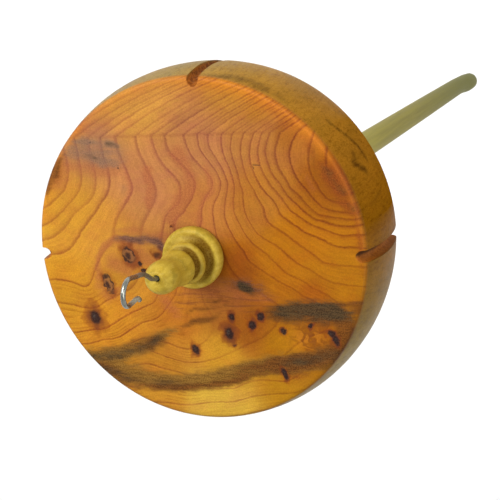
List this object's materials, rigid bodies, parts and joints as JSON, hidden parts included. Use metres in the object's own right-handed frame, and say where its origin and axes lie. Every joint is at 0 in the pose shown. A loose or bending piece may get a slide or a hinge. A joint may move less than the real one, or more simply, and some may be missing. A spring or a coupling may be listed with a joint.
{
  "type": "drop spindle",
  "caption": "Top-whorl drop spindle for hand-spinning yarn: thick turned yew whorl with rim notches, tapered shaft, turned finial and a bent wire hook.",
  "frame": {"origin": "centre of the shaft's rounded tip, which is the lowest point of the spindle", "axes": "+Z along the shaft from the tip up to the hook; +X and +Y square to it, +X towards the right-hand yarn notch (2 degrees past it) and +Y towards the upper one (3 degrees past it)"},
  "size_m": [0.07, 0.07, 0.255],
  "materials": {
    "yew_whorl": "oiled satin yew heartwood with dark growth lines, pips and stained bands",
    "boxwood_shaft": "plain pale close-grained wood, satin",
    "boxwood_finial": "yellow close-grained wood, satin",
    "steel_wire": "bright drawn steel wire"
  },
  "bodies": {
    "root": {"whorl": "yew_whorl", "shaft": "boxwood_shaft", "finial": "boxwood_finial", "hook": "steel_wire"}
  },
  "joints": []
}
